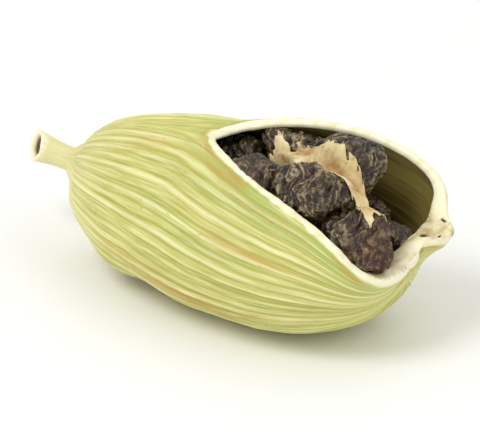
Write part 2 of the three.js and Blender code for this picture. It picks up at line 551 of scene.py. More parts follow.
# the outside, its edge rolled over along the lips
def outerPoints(share, across):
    m = huskMake
    angle = huskAngles(share, across)
    reach = huskReach(share, angle) - dent(share, angle)
    roll = m["lipRoll"] * np.clip(1 - lipArc(share, across) / m["rimWidth"], 0, 1) ** 2
    points = aroundAxis(share, angle, reach - roll * np.minimum(reach, 1))
    return pressBelly(slantCut(points, share), 0)


# the inside keeps the wall's depth, and ends short of the tip
def innerPoints(share, across):
    m = huskMake
    angle = huskAngles(share, across)
    wall = podForm["wall"]
    reach = huskReach(share, angle) - dent(share, angle)
    reach = np.sqrt(reach ** 2 + wall ** 2) - wall
    _, _, opening = mouthEdges(share)
    power = m["backTipWall"] + (m["frontTipWall"] - m["backTipWall"]) * across
    return pressBelly(aroundAxis(share, angle, reach, -m["tipWall"] * opening ** power), wall)


# 1 at a spot, fading over a distance
def nearness(points, spot, size):
    return np.exp(-np.sum((points - spot) ** 2, axis=-1) / size ** 2)


# the dry knob where the back lip ends, lumpy and pitted, with the crease under it; painted shade is laid
# in the pits and the crease
def shapeKnob(points, rim, lipRows):
    m = huskMake
    middle = outerPoints(np.array(m["knobShare"]), 0.0)
    near = nearness(points, middle, m["knobSize"])
    lump = np.prod(np.sin((points - middle) * m["knobWaves"] + m["knobPhases"]), axis=-1)
    push = np.minimum(near * m["knobFlat"], 1) * (1 + m["knobLump"] * lump)
    shaped = points + push[..., None] * np.array(m["knobPush"])
    share, across = m["creasePlace"]
    crease = nearness(points, outerPoints(np.array(share), across), m["creaseSize"])
    shaped += crease[..., None] * np.array(m["creasePush"])
    # painted shade in the crease, carried in the same mask as the pits
    pit = m["creaseShade"] * crease ** 2
    onBackLip = np.arange(len(lipRows)) > len(lipRows) // 2
    aimShare, aimAngle, aimRadius = m["pitAim"]
    aim = aroundAxis(aimShare, math.radians(aimAngle), aimRadius)
    for share, across, size in m["pits"]:
        row = np.argmin(np.where(onBackLip, abs(lipRows - share), np.inf))
        spot = rim[row, int(round(across * m["rimSteps"]))]
        close = nearness(points, spot, size)
        inwards = (aim - spot) / np.linalg.norm(aim - spot)
        shaped += close[..., None] * inwards * m["pitDepth"]
        pit = np.maximum(pit, close)
    return shaped, near, pit


def gridFaces(start, rows, columns):
    i, j = np.meshgrid(np.arange(rows - 1), np.arange(columns - 1), indexing="ij")
    a = start + i * columns + j
    return np.stack([a, a + 1, a + columns + 1, a + columns], axis=-1).reshape(-1, 4)


# closed loop along both lips: out from the notch on the front lip, back on the other
def lipLoop(grid, notchRow):
    return np.concatenate([grid[notchRow:, -1], grid[notchRow + 1:-1, 0][::-1]])


def rimPoints(outerLip, innerLip):
    m = huskMake
    along = np.roll(outerLip, -1, 0) - np.roll(outerLip, 1, 0)
    outwards = np.cross(along, innerLip - outerLip)
    outwards /= np.linalg.norm(outwards, axis=1, keepdims=True) + 1e-9
    mouthMiddle = aroundAxis(m["mouthMiddle"], math.radians(podForm["seam"]), podForm["radius"])
    outwards *= np.sign(np.sum(outwards * (mouthMiddle - outerLip), axis=1))[:, None]
    step = np.linspace(0, 1, m["rimSteps"] + 1)[None, :, None]
    place = np.linspace(0, 1, len(outerLip), endpoint=False)
    uneven = m["rimBulge"] * (1 + m["rimUneven"] * ripple(place * 3, 11, 24, 0.3))
    bulge = np.sin(math.pi * step) * uneven[:, None, None]
    return outerLip[:, None] * (1 - step) + innerLip[:, None] * step + outwards[:, None] * bulge


# what the finish reads at each point
huskFacts = ("along", "around", "girth", "outside", "inside", "rim", "pith", "lip", "knob", "pit")


def facts(shape, **values):
    return np.stack([np.broadcast_to(values.get(name, 0.0), shape) for name in huskFacts], axis=-1)


# one closed mesh from the grids and their facts
def joinShell(parts):
    start, points, faces, values = 0, [], [], []
    for grid, gridFacts in parts:
        points.append(grid.reshape(-1, 3))
        values.append(gridFacts.reshape(-1, gridFacts.shape[-1]))
        faces.append(gridFaces(start, *grid.shape[:2]))
        start += grid.shape[0] * grid.shape[1]
    values = np.concatenate(values)
    mesh = bpy.data.meshes.new("husk")
    mesh.from_pydata(toFrame(np.concatenate(points)), [], np.concatenate(faces).tolist())
    for index, name in enumerate(huskFacts):
        layer = mesh.attributes.new(name, "FLOAT", "POINT")
        layer.data.foreach_set("value", values[:, index].astype(np.float32))
    # fibre space: the husk unrolled to an even tube, in millimetres
    turn = values[:, 1] * fullTurn
    radius = huskMake["fibreRadius"]
    length = values[:, 0] * podForm["length"]
    tube = np.stack([length, radius * np.cos(turn), radius * np.sin(turn)], axis=1)
    layer = mesh.attributes.new("fibre", "FLOAT_VECTOR", "POINT")
    layer.data.foreach_set("vector", tube.astype(np.float32).ravel())

    work = bmesh.new()
    work.from_mesh(mesh)
    bmesh.ops.remove_doubles(work, verts=work.verts, dist=huskMake["joinWithin"] * mm)
    bmesh.ops.recalc_face_normals(work, faces=work.faces)
    work.to_mesh(mesh)
    work.free()
    return mesh


def huskShell():
    m = huskMake
    rows = huskRows()
    notchRow = int(np.argmin(abs(rows - podForm["notch"])))
    share = rows[:, None]
    across = np.linspace(0, 1, m["columns"] + 1)[None, :]
    outer = outerPoints(share, across)

    innerRows = rows[rows >= m["innerStart"]]
    innerNotch = int(np.argmin(abs(innerRows - podForm["notch"])))
    innerShare = innerRows[:, None]
    innerAcross = np.linspace(0, 1, m["innerColumns"] + 1)[None, :]
    inner = innerPoints(innerShare, innerAcross)
    innerPole = np.broadcast_to(aroundAxis(innerRows[0], 0.0, 0.0), (1,) + inner.shape[1:])
    inner = np.concatenate([innerPole, inner])

    ends = np.array(m["stalkEnd"])
    ring = ends[:, 1:]
    endAngle = huskAngles(0.0, across)
    endReach = huskReach(0.0, endAngle) - dent(0.0, endAngle)
    turns, twist = m["endWaves"]
    endReach = endReach * ring * (1 + m["endUneven"] * np.sin(turns * endAngle + twist * ring))
    stalkEnd = slantCut(aroundAxis(0.0, endAngle, endReach, ends[:, :1]), 0.0)
    stalkEnd = np.concatenate([outer[:1], stalkEnd])

    rim = rimPoints(lipLoop(outer, notchRow), lipLoop(inner[1:], innerNotch))
    rim = np.concatenate([rim, rim[:1]])

    lipRows = np.concatenate([rows[notchRow:], rows[notchRow:-1][::-1]])
    outer, outerKnob, outerPit = shapeKnob(outer, rim, lipRows)
    inner, innerKnob, innerPit = shapeKnob(inner, rim, lipRows)
    rim, rimKnob, rimPit = shapeKnob(rim, rim, lipRows)

    girth = spindleRadius(share, 0.0) / podForm["radius"]
    ribs = ribPlace(share, huskAngles(share, across))
    ribs[:notchRow + 1, -1] = ribs[:notchRow + 1, 0]
    outerLip = lipArc(share, across)
    even, uneven = m["rimEdge"]
    edge = m["rimWidth"] * (even + uneven * ripple(share * 3, 15, 14, 0.4))
    torn = np.clip((edge - outerLip) / m["rimSoftness"] + 0.5, 0, 1)
    cut = np.clip(1 - share / m["cutPale"], 0, 1)
    outside = np.clip(outerLip / m["rimWidth"] - m["ribStart"], m["ribTrace"], 1)
    outerFacts = facts(outer.shape[:2], along=share, around=ribs, girth=girth, outside=outside,
                       lip=outerLip, rim=np.maximum(torn, cut), knob=outerKnob, pit=outerPit)

    innerShare = np.concatenate([innerRows[:1], innerRows])[:, None]
    innerLip = lipArc(innerShare, innerAcross)
    innerGirth = spindleRadius(innerShare, 0.0) / podForm["radius"]
    innerFacts = facts(inner.shape[:2], along=innerShare, around=innerAcross, girth=innerGirth, inside=1.0,
                       lip=innerLip, rim=bell(innerLip, 0, m["innerRim"]), knob=innerKnob, pit=innerPit)

    wood = np.clip((ring - m["woodShare"]) * m["endSteep"], 0, 1)
    pith = np.clip((m["pithShare"] - ring) * m["endSteep"], 0, 1)
    # the cut end lies far from the lips
    endFacts = facts(stalkEnd.shape[:2], around=across, girth=0.1, lip=9.0,
                     rim=np.concatenate([[[m["endEdge"]]], wood]), pith=np.concatenate([[[0.0]], pith]))

    frontSide = np.arange(len(lipRows)) < len(rows) - notchRow
    width = np.linalg.norm(rim[:, -1] - rim[:, 0], axis=1)[:, None]
    depth = np.linspace(0, 1, m["rimSteps"] + 1)[None, :] * width
    slope = smoothStep(depth, *(m["rimWidth"] + more for more in m["rimSlope"]))
    dry = smoothStep(width, *m["rimDry"])
    rimFacts = facts(rim.shape[:2], along=lipRows[:, None], around=frontSide[:, None] * 1.0, girth=0.5,
                     rim=1 - m["slopeTone"] * slope, inside=slope, lip=depth,
                     knob=np.maximum(rimKnob, m["dryTone"] * dry), pit=rimPit)
    return joinShell([(outer, outerFacts), (inner, innerFacts), (stalkEnd, endFacts), (rim, rimFacts)])


def ribTree():
    tree, inputs = startTree("huskRibs", [
        ("Rib Count", "Int"), ("Rib Height", "Float"), ("Fine Count", "Int"), ("Fine Height", "Float"),
        ("Wander", "Float"), ("Wrinkle Height", "Float"), ("Lump Height", "Float"), ("Seed", "Int"),
        ("Material", "Material")])
    around = readNamed(tree, "around")
    fibre = readNamed(tree, "fibre", "FLOAT_VECTOR")
    outside = readNamed(tree, "outside")
    inside = readNamed(tree, "inside")
    girth = readNamed(tree, "girth")
    shift = combine(tree, times(tree, inputs["Seed"], 13.7), 0.0, 0.0)

    def fibreNoise(stretch, scale, detail):
        place = vector(tree, "ADD", vector(tree, "MULTIPLY", fibre, stretch), shift)
        return noise(tree, place, scale, detail)

    sway = minus(tree, fibreNoise((0.5, 1, 1), 0.6, 2.0), 0.5)

    def turnsOf(count, wander):
        astray = times(tree, inputs["Wander"], wander)
        return calc(tree, "MULTIPLY_ADD", sway, astray, times(tree, around, count))

    def waves(turns):
        swing = calc(tree, "COSINE", times(tree, turns, fullTurn))
        return calc(tree, "MULTIPLY_ADD", swing, 0.5, 0.5)

    # ribs wander a little, and each has its own strength
    ribTurns = turnsOf(inputs["Rib Count"], 4.0)
    crown = calc(tree, "POWER", waves(ribTurns), 2.2)
    index = calc(tree, "ROUND", ribTurns)
    ownSeed = calc(tree, "MULTIPLY_ADD", inputs["Seed"], 3.1, index)
    dice = addNode(tree, "ShaderNodeTexWhiteNoise", {"W": ownSeed}, noise_dimensions="1D")
    ownStrength = remap(tree, dice.outputs["Value"], 0.0, 1.0, 0.1, 1.0)
    length = times(tree, separate(tree, fibre)[0], 0.3)
    lengthPlace = combine(tree, length, times(tree, index, 5.3), 0.0)
    alongStrength = remap(tree, noise(tree, lengthPlace, 1.0, 2.0), 0.3, 0.7, 0.4, 1.0)
    rib = times(tree, crown, times(tree, ownStrength, alongStrength))

    fine = waves(turnsOf(inputs["Fine Count"], 14.0))
    wrinkle = minus(tree, fibreNoise((0.45, 1, 1), 1.9, 3.0), 0.5)

    # outside carries ribs, inside only a faint trace of them
    ribLift = times(tree, minus(tree, rib, 0.3), inputs["Rib Height"])
    fineLift = times(tree, fine, inputs["Fine Height"])
    wrinkleLift = times(tree, wrinkle, inputs["Wrinkle Height"])
    lift = plus(tree, plus(tree, ribLift, fineLift), wrinkleLift)
    slim = calc(tree, "POWER", calc(tree, "MINIMUM", times(tree, girth, 2.0), 1.0), 1.7)
    reach = times(tree, calc(tree, "MULTIPLY_ADD", inside, 0.3, outside), slim)
    quiet = remap(tree, readNamed(tree, "along"), 0.82, 0.98, 1.0, 0.2)
    lift = times(tree, lift, times(tree, reach, quiet))
    # lumps on the knob, fainter along the torn rim
    dry = calc(tree, "MULTIPLY_ADD", readNamed(tree, "rim"), 0.3, readNamed(tree, "knob"))
    place = vector(tree, "SCALE", given(tree, "GeometryNodeInputPosition"), 1000.0)
    lumps = minus(tree, noise(tree, vector(tree, "ADD", place, shift), 1.7, 2.0), 0.5)
    lumps = times(tree, lumps, times(tree, dry, inputs["Lump Height"]))
    normal = given(tree, "GeometryNodeInputNormal")
    offset = vector(tree, "SCALE", normal, plus(tree, lift, lumps))
    shape = setPosition(tree, inputs["Geometry"], "Offset", offset)

    # the belly is pressed flat where it meets the ground
    spot = separate(tree, given(tree, "GeometryNodeInputPosition"))
    pressed = combine(tree, spot[0], spot[1], calc(tree, "MAXIMUM", spot[2], 0.0))
    shape = setPosition(tree, shape, "Position", pressed)
    shape = storeNamed(tree, shape, "crest", calc(tree, "MULTIPLY_ADD", fine, 0.18, rib))
    endTree(tree, shape, inputs["Material"])
    return tree


def huskMaterial():
    tones = huskMake["tones"]
    material, tree, shader = startMaterial("driedHusk")
    fibre = attribute(tree, "fibre", "Vector")
    crest = attribute(tree, "crest")
    lip = attribute(tree, "lip")
    along = attribute(tree, "along")

    def fibreNoise(stretch, scale, detail=3.0, offset=0.0):
        place = vector(tree, "ADD", vector(tree, "MULTIPLY", fibre, stretch), (offset, 0.0, 0.0))
        return noise(tree, place, scale, detail)

    # straw and green bands along the fibres, paler on the ribs
    skin = ramp(tree, fibreNoise((0.12, 1, 1), 1.1), tones["bands"])
    threads = fibreNoise((0.05, 1, 1), 6.0, 2.0, 5.0)
    hairs = fibreNoise((0.06, 1, 1), 13.0, 3.0, 7.0)
    layers = [
        ("paleThread", threads, 0.5, 0.72, 0.0, 0.5),
        ("darkThread", threads, 0.28, 0.48, 0.4, 0.0),
        ("darkHair", hairs, 0.34, 0.5, 0.4, 0.0),
        ("paleHair", hairs, 0.52, 0.68, 0.0, 0.4),
        # grooves between the ribs painted darker olive: partly their own colour, partly painted shade
        ("groove", crest, 0.0, 0.2, 0.55, 0.0),
    ]
    for name, *reach in layers:
        skin = mix(tree, remap(tree, *reach), skin, tones[name])
    place = given(tree, "ShaderNodeTexCoord", "Object")
    # rib tops painted paler cream, partly their own pale fibres and partly painted highlight; the
    # highlight is painted stronger higher up the pod, as light from above falls
    paintedTopLight = remap(tree, separate(tree, place)[2], 0.0005, 0.004, 0.35, 0.75)
    ribTops = times(tree, remap(tree, crest, 0.25, 0.7), paintedTopLight)
    skin = mix(tree, ribTops, skin, tones["crest"])
    # rusty stains in the grooves
    stains = remap(tree, fibreNoise((0.16, 1, 1), 0.62, 2.0, 21.0), 0.55, 0.72)
    streaks = remap(tree, fibreNoise((0.1, 1, 1), 3.4, 2.0, 40.0), 0.42, 0.62, 0.0, 0.75)
    skin = mix(tree, times(tree, stains, streaks), skin, tones["rust"])
    # fresher green beside the lips, pale at the ends
    nearLip = remap(tree, lip, 0.2, 2.2, 1.0, 0.0)
    streaks = remap(tree, fibreNoise((0.1, 1, 1), 2.2, 2.0, 60.0), 0.4, 0.6, 0.0, 0.8)
    skin = mix(tree, times(tree, nearLip, streaks), skin, tones["fresh"])
    pale = calc(tree, "MAXIMUM", remap(tree, along, 0.3, 0.05), remap(tree, along, 0.94, 1.0, 0.0, 0.35))
    skin = mix(tree, times(tree, pale, 0.6), skin, tones["paleEnd"])
    # tan line close to the lips
    line = times(tree, remap(tree, lip, 0.3, 0.4), remap(tree, lip, 0.5, 0.65, 1.0, 0.0))
    breaks = remap(tree, fibreNoise((0.25, 0.2, 0.2), 1.0, 2.0, 90.0), 0.45, 0.6, 0.0, 0.7)
    skin = mix(tree, times(tree, line, breaks), skin, tones["lipLine"])
    # fine brown flecks
    flecks = remap(tree, fibreNoise((0.5, 1, 1), 5.5, 2.0, 80.0), 0.7, 0.76, 0.0, 0.4)
    skin = mix(tree, flecks, skin, tones["fleck"])

    # inside of the valves: olive brown, with painted shade that darkens it away from the lip, deeper in
    # the hollow
    shadedLining = ramp(tree, remap(tree, lip, 0.0, 5.0), tones["shadedLining"])
    shadedLining = mix(tree, remap(tree, threads, 0.4, 0.7, 0.0, 0.5), shadedLining, tones["liningThread"])
    clouds = fibreNoise((0.2, 1, 1), 1.6, 3.0, 12.0)
    shadedLining = mix(tree, remap(tree, clouds, 0.5, 0.7, 0.0, 0.6), shadedLining, tones["liningStain"])
    skin = mix(tree, attribute(tree, "inside"), skin, shadedLining)

    # torn rim: pale cream, a little uneven
    rimTone = ramp(tree, fibreNoise((1, 1, 1), 2.5, 3.0, 33.0), tones["rim"])
    skin = mix(tree, attribute(tree, "rim"), skin, rimTone)
    # the knob is cream, with painted shade in its pits and in the crease under it
    knobTone = ramp(tree, noise(tree, place, 1500.0, 3.0), tones["knob"])
    skin = mix(tree, remap(tree, attribute(tree, "knob"), 0.3, 0.7, 0.0, 0.85), skin, knobTone)
    skin = mix(tree, remap(tree, attribute(tree, "pit"), 0.35, 0.7), skin, tones["pit"])
    pithTone = ramp(tree, noise(tree, place, 5000.0, 2.0), tones["pith"])
    skin = mix(tree, attribute(tree, "pith"), skin, pithTone)

    grain = bump(tree, calc(tree, "MULTIPLY_ADD", hairs, 0.6, threads), 0.3, 0.00004)
    endMaterial(tree, shader, skin, remap(tree, threads, 0.3, 0.7, 0.5, 0.72), grain, 0.35)
    return material


husk = addObject("podHusk", huskShell())
ribs = {name: value * mm if "Height" in name else value for name, value in huskMake["ribs"].items()}
runTree(husk, ribTree(), {**ribs, "Material": huskMaterial()})
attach(husk, "root")
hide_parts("husk")
print("husk faces", len(husk.data.polygons))

# seeds: two rows in each of three chambers, three more at either end
seedMake = {
    "rings": [0.372, 0.504, 0.636, 0.768],
    "rows": {"upper_front": 51, "upper_back": 111, "back": 171,
             "lower_back": 231, "lower_front": 291, "front": 351},
    "stalkRing": 0.24,
    "stalkRows": {"top": 81, "back": 201, "front": 321},
    "tipRing": 0.895,
    "tipRows": {"top": 55, "back": 175, "front": 300},
    # the upper rows have sprung up and back under the mouth
    "springStart": 0.45,
    "springFull": 0.75,
    "springFade": 0.8,
    "springEnd": 0.95,
    "springBack": 0.6,
    "springUp": 1.0,
    "gap": 0.15,
    "swell": 0.14,
    "thickness": 0.34,
    "endThickness": 0.36,
    "endWidth": 1.05,
    "endLength": 1.0,
    # seeds that show in the mouth, and those of them that nothing presses
    "shown": ("seed_upper", "seed_tip", "seed_back_4", "seed_front_4"),
    "loose": ("seed_tip_front", "seed_tip_back"),
    "rusty": "seed_tip_top",
    # larger and smaller seeds in the mouth: half length, width and thickness
    "stretch": {
        "seed_tip_top": (0.22, 0.02, 0.06),
        "seed_upper_front_4": (0.22, 0.12, 0.05),
        "seed_upper_back_3": (-0.1, -0.08, -0.15),
    },
    "hiddenShrink": 0.05,
    "squareness": 3.3,
    "hiddenSquareness": 2.3,
    "taper": 0.3,
    "lump": 0.11,
    "pressedLump": 0.44,
    "facet": 0.32,
    "wrinkleHeight": 0.2,
    "shownDetail": 6,
    "hiddenDetail": 4,
    "tilt": 9,
    "seed": 21,
    "tones": {
        "bare": [(0.1, "080502"), (0.5, "1a120b"), (0.85, "3a2c1c"), (1.0, "5e4f3a")],
        # valleys darker as painted shade; ridges paler, partly own colour and partly painted sheen
        "paleRidgesAndSheen": [(0.1, "0a0603"), (0.5, "1c130a"), (0.78, "42321a"), (0.95, "b09d75")],
        "patch": "584730",
        "tint": "40200c",
        "rust": "512610",
        "shred": "b5a27c",
        "dust": "c9b892",
    },
}


def seedReach(share):
    return spindleRadius(share, 0.0) * (1 - podForm["lobeDepth"]) - podForm["wall"] - seedMake["gap"]


# how far the upper seeds have sprung out of their rows
def spring(share):
    m = seedMake
    rise = smoothStep(share, m["springStart"], m["springFull"])
    rise = rise * (1 - smoothStep(share, m["springFade"], m["springEnd"]))
    return np.stack([0 * rise, m["springBack"] * rise, m["springUp"] * rise], axis=-1)


# name, share, angle and half sizes of every seed
def seedList():
    m = seedMake
    for number, share in enumerate(m["rings"], 1):
        reach = seedReach(share)
        thick = m["thickness"] * reach
        wide = (reach - thick) * math.tan(math.pi / len(m["rows"])) * podForm["height"] - m["gap"] / 2
        long = podForm["length"] * (m["rings"][1] - m["rings"][0]) / 2 - m["gap"] / 2
        for row, degrees in m["rows"].items():
            yield f"seed_{row}_{number}", share, degrees, (long, wide, thick)
    ends = (("stalk_end", m["stalkRing"], m["stalkRows"]), ("tip", m["tipRing"], m["tipRows"]))
    for end, share, rows in ends:
        half = (m["endLength"], m["endWidth"], m["endThickness"] * seedReach(share))
        for row, degrees in rows.items():
            yield f"seed_{end}_{row}", share, degrees, half


def seedTree():
    tree, inputs = startTree("wrinkledSeed", [
        ("Detail", "Int"), ("Half Size", "Vector"), ("Centre", "Vector"), ("Turn", "Vector"),
        ("Squareness", "Float"), ("Taper", "Float"), ("Lump", "Float"), ("Facet", "Float"),
        ("Wrinkle Height", "Float"), ("Tint", "Float"), ("Seed", "Int"), ("Material", "Material")])
    ball = addNode(tree, "GeometryNodeMeshIcoSphere", {"Subdivisions": inputs["Detail"], "Radius": 1.0})
    place = given(tree, "GeometryNodeInputPosition")
    shift = combine(tree, times(tree, inputs["Seed"], 17.3), 0.0, 0.0)

    # blunt block with its own lumps, narrower on the inner side
    sides = separate(tree, vector(tree, "ABSOLUTE", place))
    x, y, z = (calc(tree, "POWER", side, inputs["Squareness"]) for side in sides)
    total = plus(tree, plus(tree, x, y), z)
    size = calc(tree, "POWER", total, calc(tree, "DIVIDE", -1.0, inputs["Squareness"]))
    ownPlace = vector(tree, "ADD", place, shift)
    lumps = minus(tree, noise(tree, ownPlace, 1.1, 1.0), 0.5)
    size = times(tree, size, calc(tree, "MULTIPLY_ADD", lumps, inputs["Lump"], 1.0))
    # flattened sides where neighbours pressed against it
    values = {"Vector": ownPlace, "Scale": 1.25, "Smoothness": 0.35}
    cells = addNode(tree, "ShaderNodeTexVoronoi", values, feature="SMOOTH_F1")
    pressed = minus(tree, calc(tree, "MINIMUM", cells.outputs["Distance"], 0.75), 0.55)
    size = times(tree, size, calc(tree, "MULTIPLY_ADD", pressed, inputs["Facet"], 1.0))
    block = separate(tree, vector(tree, "SCALE", place, size))
    taper = times(tree, inputs["Taper"], 0.5)
    narrow = calc(tree, "MULTIPLY_ADD", minus(tree, block[2], 1.0), taper, 1.0)
    block = combine(tree, block[0], times(tree, block[1], narrow), block[2])
    block = vector(tree, "MULTIPLY", block, inputs["Half Size"])
    shape = setPosition(tree, ball.outputs["Mesh"], "Position", block)

    # wrinkles run across the seed
    spot = vector(tree, "ADD", vector(tree, "SCALE", place, 1000.0), shift)
    bend = times(tree, noise(tree, spot, 0.8, 1.0), 2.4)
    spot = vector(tree, "MULTIPLY", spot, (1.9, 0.6, 0.9))
    folds = noise(tree, vector(tree, "ADD", spot, combine(tree, bend, 0.0, 0.0)), 1.7, 3.0, 0.58)
    offRidge = calc(tree, "ABSOLUTE", calc(tree, "MULTIPLY_ADD", folds, 5.0, -2.5))
    ridge = calc(tree, "MAXIMUM", minus(tree, 1.0, offRidge), 0.0)
    normal = given(tree, "GeometryNodeInputNormal")
    lift = times(tree, minus(tree, ridge, 0.75), inputs["Wrinkle Height"])
    shape = setPosition(tree, shape, "Offset", vector(tree, "SCALE", normal, lift))
    shape = storeNamed(tree, shape, "wrinkle", ridge)
    shape = storeNamed(tree, shape, "tint", inputs["Tint"])

    values = {"Geometry": shape, "Translation": inputs["Centre"], "Rotation": inputs["Turn"]}
    move = addNode(tree, "GeometryNodeTransform", values)
    endTree(tree, move.outputs[0], inputs["Material"])
    return tree


def seedMaterial():
    tones = seedMake["tones"]
    material, tree, shader = startMaterial("wrinkledSeedCoat")
    place = given(tree, "ShaderNodeTexCoord", "Object")
    wrinkle = attribute(tree, "wrinkle")
    tint = attribute(tree, "tint")
    # dark coat, painted darker in the wrinkle valleys as painted shade; in patches the ridges are pale,
    # partly pale coat and partly painted sheen
    bare = ramp(tree, wrinkle, tones["bare"])
    paleRidgesAndSheen = ramp(tree, wrinkle, tones["paleRidgesAndSheen"])
    coat = mix(tree, remap(tree, noise(tree, place, 750.0, 3.0), 0.4, 0.58), bare, paleRidgesAndSheen)
    patches = noise(tree, place, 900.0, 2.0)
    coat = mix(tree, remap(tree, patches, 0.5, 0.7, 0.0, 0.25), coat, tones["patch"])
    coat = mix(tree, times(tree, tint, 0.3), coat, tones["tint"])
    # rustier towards the tip
    tipRust = remap(tree, separate(tree, place)[0], 0.0081, 0.0092, 0.0, 0.45)
    coat = mix(tree, tipRust, coat, tones["rust"])
    # shreds of skin stuck to the ridges
    shreds = remap(tree, noise(tree, place, 2300.0, 3.0), 0.55, 0.66, 0.0, 0.35)
    coat = mix(tree, times(tree, shreds, wrinkle), coat, tones["shred"])
    dust = remap(tree, noise(tree, place, 4200.0, 2.0), 0.6, 0.7, 0.0, 0.15)
    coat = mix(tree, dust, coat, tones["dust"])
    grain = bump(tree, noise(tree, place, 7000.0, 3.0), 0.3, 0.00003)
    endMaterial(tree, shader, coat, remap(tree, patches, 0.3, 0.7, 0.28, 0.5), grain, 0.45)
    return material


seedPaint = seedMaterial()
seedGrowth = seedTree()
dice = np.random.default_rng(seedMake["seed"])
seeds = []
for count, (name, share, degrees, half) in enumerate(seedList()):
    low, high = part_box(name)
    angle = math.radians(degrees)
    outwards = math.atan2(podForm["height"] * math.sin(angle), math.cos(angle))
    tilt = np.radians(dice.uniform(-seedMake["tilt"], seedMake["tilt"], 3))
    shown = name.startswith(seedMake["shown"])
    pressed = shown and name not in seedMake["loose"]
    swell = seedMake["swell"] if pressed else -seedMake["hiddenShrink"]
    stretch = seedMake["stretch"].get(name, (0, 0, 0))
    piece = addObject(name.replace("seed_", "seedGrain_"), bpy.data.meshes.new(name))
    runTree(piece, seedGrowth, {
        "Detail": seedMake["shownDetail"] if shown else seedMake["hiddenDetail"],
        "Half Size": [(side + swell + more) * mm for side, more in zip(half, stretch)],
        "Centre": list((low + high) / 2),
        "Turn": [math.pi / 2 - outwards + tilt[0], tilt[1], tilt[2]],
        "Squareness": seedMake["squareness"] if pressed else seedMake["hiddenSquareness"],
        "Taper": seedMake["taper"],
        "Lump": seedMake["pressedLump"] if pressed else seedMake["lump"],
        "Facet": seedMake["facet"],
        "Wrinkle Height": seedMake["wrinkleHeight"] * mm,
        "Tint": 1.0 if name == seedMake["rusty"] else float(dice.random() ** 2),
        "Seed": count,
        "Material": seedPaint,
    })
    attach(piece, "root")
    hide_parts(name)
    seeds.append(piece)
print("seeds", len(seeds), "faces", sum(len(piece.data.polygons) for piece in seeds))

# papery skin that lies over the upper rows, torn and holed
skinMake = {
    "start": 0.605,
    "end": 0.95,
    "startAngle": 92,
    "endAngle": 78,
    "halfWidth": 0.78,
    "widthRange": (0.75, 0.3),
    "sway": 5,
    "rows": 120,
    "columns": 40,
    "castOut": 2,
    "gapDepth": 0.5,
    "stretchRounds": 60,
    "easeRounds": 3,
    "clear": 0.05,
    "crease": 0.05,
    "thickness": 0.035,
    # how far the tear eats into the sides and ends, and where it makes holes
    "sideTear": 0.5,
    "sideKeep": 0.15,
    "endSteep": 9,
    "endTear": 0.4,
    "endKeep": 0.3,
    "holeAt": -0.95,
    "seed": 5,
    "tones": {
        "film": [(0.3, "b08a55"), (0.45, "d3b983"), (0.6, "e4d3a0"), (0.75, "f6ecc9")],
        "spot": "8a5f33",
    },
}


def seedSurface():
    points, faces, start = [], [], 0
    for piece in seeds:
        points += [vertex.co.copy() for vertex in piece.data.vertices]
        faces += [[start + index for index in face.vertices] for face in piece.data.polygons]
        start += len(piece.data.vertices)
    return BVHTree.FromPolygons(points, faces)


# how far from the axis the seeds reach, along lines that come in from outside
def seedTops(share, angle, lift):
    m = skinMake
    castFrom = podForm["radius"] + m["castOut"]
    far = toFrame(aroundAxis(share, angle, castFrom) + lift)
    inwards = toFrame(aroundAxis(share, angle, 0.0) + lift) - far
    surface = seedSurface()
    tops = np.broadcast_to(seedReach(share) - m["gapDepth"], angle.shape).copy()
    for spot in np.ndindex(*angle.shape):
        start = Vector(far[spot])
        hit = surface.ray_cast(start, Vector(inwards[spot]).normalized())[0]
        if hit is not None:
            tops[spot] = castFrom * (1 - (hit - start).length / np.linalg.norm(inwards[spot]))
    return tops


def skinSheet():
    m = skinMake
    seed = m["seed"]
    step = np.linspace(0, 1, m["rows"])[:, None]
    side = np.linspace(-1, 1, m["columns"])[None, :]
    share = m["start"] + (m["end"] - m["start"]) * step
    even, uneven = m["widthRange"]
    width = m["halfWidth"] * (even + uneven * ripple(step, seed, 6, 0.7))
    middle = m["startAngle"] + (m["endAngle"] - m["startAngle"]) * step
    middle = np.radians(middle + m["sway"] * ripple(step, seed + 1, 5))
    angle = middle + side * width / seedReach(share)
    lift = spring(share)
    floor = seedTops(share, angle, lift) + m["clear"]
    # film stretched over the gaps between seeds
    film = floor.copy()
    for _ in range(m["stretchRounds"]):
        padded = np.pad(film, 1, mode="edge")
        film = (padded[:-2, 1:-1] + padded[2:, 1:-1] + padded[1:-1, :-2] + padded[1:-1, 2:]) / 4
        film = np.maximum(film, floor)
    crease = ripple(step * 4 + side * 0.6, seed + 2, 7, 0.5)
    crease = crease + ripple(side * 1.5 + step * 1.3, seed + 3, 5, 0.5)
    film = film + m["crease"] * np.abs(crease)
    points = toFrame(aroundAxis(share, angle, film) + lift).reshape(-1, 3)

    # torn outline and a few holes
    u = step * 3.0
    v = side * 0.5
    tear = ripple(u + 0.8 * v, seed + 4, 8, 0.4) + ripple(v * 2 - u * 0.7, seed + 5, 7, 0.4)
    inside = 1 - np.abs(side) + m["sideTear"] * tear > m["sideKeep"]
    fromEnd = np.minimum(np.minimum(step, 1 - step) * m["endSteep"], 1)
    between = fromEnd + m["endTear"] * tear > m["endKeep"]
    keep = (inside & between & (tear > m["holeAt"])).reshape(-1)
    faces = [face.tolist() for face in gridFaces(0, m["rows"], m["columns"]) if keep[face].all()]
    mesh = bpy.data.meshes.new("seedSkin")
    mesh.from_pydata(points, [], faces)
    return mesh


